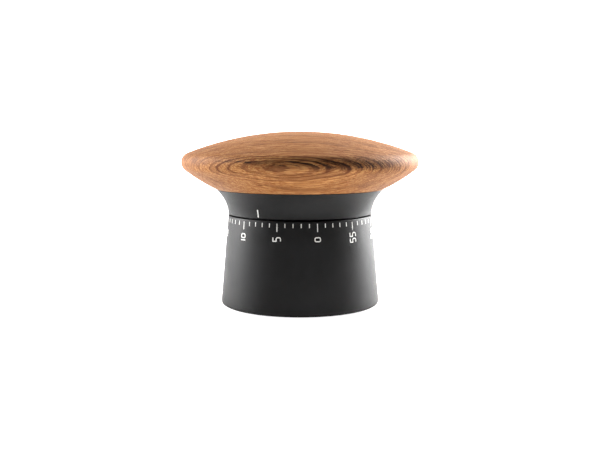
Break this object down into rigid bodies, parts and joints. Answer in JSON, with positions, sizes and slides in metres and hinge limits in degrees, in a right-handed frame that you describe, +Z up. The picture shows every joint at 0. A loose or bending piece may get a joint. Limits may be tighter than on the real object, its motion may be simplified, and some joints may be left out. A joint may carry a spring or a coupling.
{
  "type": "kitchen timer",
  "caption": "Mechanical sixty-minute kitchen timer: lens-shaped wooden cap turning on a black conical housing with a dial, plate movement and bell inside.",
  "frame": {"origin": "on the surface that the timer stands on, under the axis of its cap", "axes": "+Z up along the cap's axis; -Y is the front"},
  "size_m": [0.0948, 0.0948, 0.0695],
  "materials": {
    "oiled_oak": "satin oiled wood, light brown with darker growth-ring figure",
    "black_plastic": "matte black with a very fine texture",
    "foot_rubber": "matte",
    "zinc_screws": "zinc plated",
    "plate_steel": "rolled sheet and turned bar, nickel plated",
    "arbor_steel": "polished",
    "stamped_steel": "stamped sheet",
    "wheel_brass": "stamped and turned, lightly polished",
    "bell_chrome": "polished",
    "spring_steel": "blued"
  },
  "bodies": {
    "root": {"housing": "black_plastic", "base_cover": "black_plastic", "foot_pad_1": "foot_rubber", "foot_pad_2": "foot_rubber", "foot_pad_3": "foot_rubber", "cover_screw_1": "zinc_screws", "cover_screw_2": "zinc_screws", "cover_screw_3": "zinc_screws", "movement_screw_1": "zinc_screws", "movement_screw_2": "zinc_screws", "movement_screw_3": "zinc_screws", "plate_screw_1": "zinc_screws", "plate_screw_2": "zinc_screws", "plate_screw_3": "zinc_screws", "top_plate": "plate_steel", "bottom_plate": "plate_steel", "pillar_1": "plate_steel", "pillar_2": "plate_steel", "pillar_3": "plate_steel", "bell_post": "plate_steel", "bell": "bell_chrome", "bell_screw": "zinc_screws", "balance_cock": "wheel_brass", "cock_screw": "zinc_screws", "lever_stud": "arbor_steel"},
    "knob": {"collar": "black_plastic", "wood_cap": "oiled_oak", "cap_screw_1": "zinc_screws", "cap_screw_2": "zinc_screws", "cap_screw_3": "zinc_screws", "drive_hub": "wheel_brass", "main_arbor": "arbor_steel", "ratchet_wheel": "stamped_steel", "release_cam": "stamped_steel"},
    "great": {"great_wheel": "wheel_brass", "click_stud": "arbor_steel", "click_spring": "spring_steel"},
    "click": {"click": "stamped_steel"},
    "second": {"second_arbor": "arbor_steel", "second_wheel": "wheel_brass"},
    "third": {"third_arbor": "arbor_steel", "third_wheel": "wheel_brass"},
    "escape": {"escape_arbor": "arbor_steel", "escape_wheel": "wheel_brass"},
    "balance": {"balance_arbor": "arbor_steel", "balance_disc": "wheel_brass", "balance_pin_1": "arbor_steel", "balance_pin_2": "arbor_steel"},
    "barrel": {"barrel": "wheel_brass", "barrel_lid": "wheel_brass", "mainspring": "spring_steel"},
    "strike": {"strike_arbor": "arbor_steel", "star_wheel": "stamped_steel"},
    "hammer": {"hammer_arbor": "arbor_steel", "hammer_anchor": "stamped_steel", "hammer_tail": "stamped_steel", "hammer_arm": "stamped_steel", "hammer_head": "wheel_brass"},
    "lever": {"release_lever": "stamped_steel"}
  },
  "joints": [
    {"name": "knob_turn", "type": "hinge", "parent": "root", "child": "knob", "pos_m": [0, 0, 0.0368], "axis": [0, 0, 1], "range_deg": [-307.2, 45.6]},
    {"name": "great_wheel_turn", "type": "hinge", "parent": "root", "child": "great", "pos_m": [0, 0, 0.0211], "axis": [0, 0, 1], "range_deg": [-307.2, 45.6]},
    {"name": "click_lift", "type": "hinge", "parent": "great", "child": "click", "pos_m": [0, 0.0107, 0.02225], "axis": [0, 0, 1], "range_deg": [-10, 0], "stiffness_Nm_per_rad": 0.0001},
    {"name": "second_wheel_turn", "type": "hinge", "parent": "root", "child": "second", "pos_m": [0, 0.0145, 0.0239], "axis": [0, 0, 1], "range_deg": [-285, 1920]},
    {"name": "third_wheel_turn", "type": "hinge", "parent": "root", "child": "third", "pos_m": [-0.00922, 0.01119, 0.02545], "axis": [0, 0, 1], "range_deg": [-11520, 1710]},
    {"name": "escape_wheel_turn", "type": "hinge", "parent": "root", "child": "escape", "pos_m": [-0.0171, 0.00828, 0.01605], "axis": [0, 0, 1], "range_deg": [-10260, 69120]},
    {"name": "balance_swing", "type": "hinge", "parent": "root", "child": "balance", "pos_m": [-0.01434, 0.01394, 0.01605], "axis": [0, 0, 1], "range_deg": [-35, 35]},
    {"name": "barrel_turn", "type": "hinge", "parent": "root", "child": "barrel", "pos_m": [0, 0, 0.01405], "axis": [0, 0, 1], "continuous": true},
    {"name": "strike_wheel_turn", "type": "hinge", "parent": "root", "child": "strike", "pos_m": [-0.0097, -0.01078, 0.01405], "axis": [0, 0, 1], "continuous": true},
    {"name": "hammer_swing", "type": "hinge", "parent": "root", "child": "hammer", "pos_m": [-0.00153, -0.01542, 0.00745], "axis": [0, 0, 1], "range_deg": [-6, 6]},
    {"name": "release_lever_lift", "type": "hinge", "parent": "root", "child": "lever", "pos_m": [0.006, -0.01039, 0.027], "axis": [0, 0, 1], "range_deg": [-5, 0]}
  ],
  "couplings": [
    {"joint": "great_wheel_turn", "follows": "knob_turn", "ratio": 1},
    {"joint": "second_wheel_turn", "follows": "knob_turn", "ratio": -6.25},
    {"joint": "third_wheel_turn", "follows": "knob_turn", "ratio": 37.5},
    {"joint": "escape_wheel_turn", "follows": "knob_turn", "ratio": -225},
    {"joint": "strike_wheel_turn", "follows": "barrel_turn", "ratio": -6.25}
  ]
}
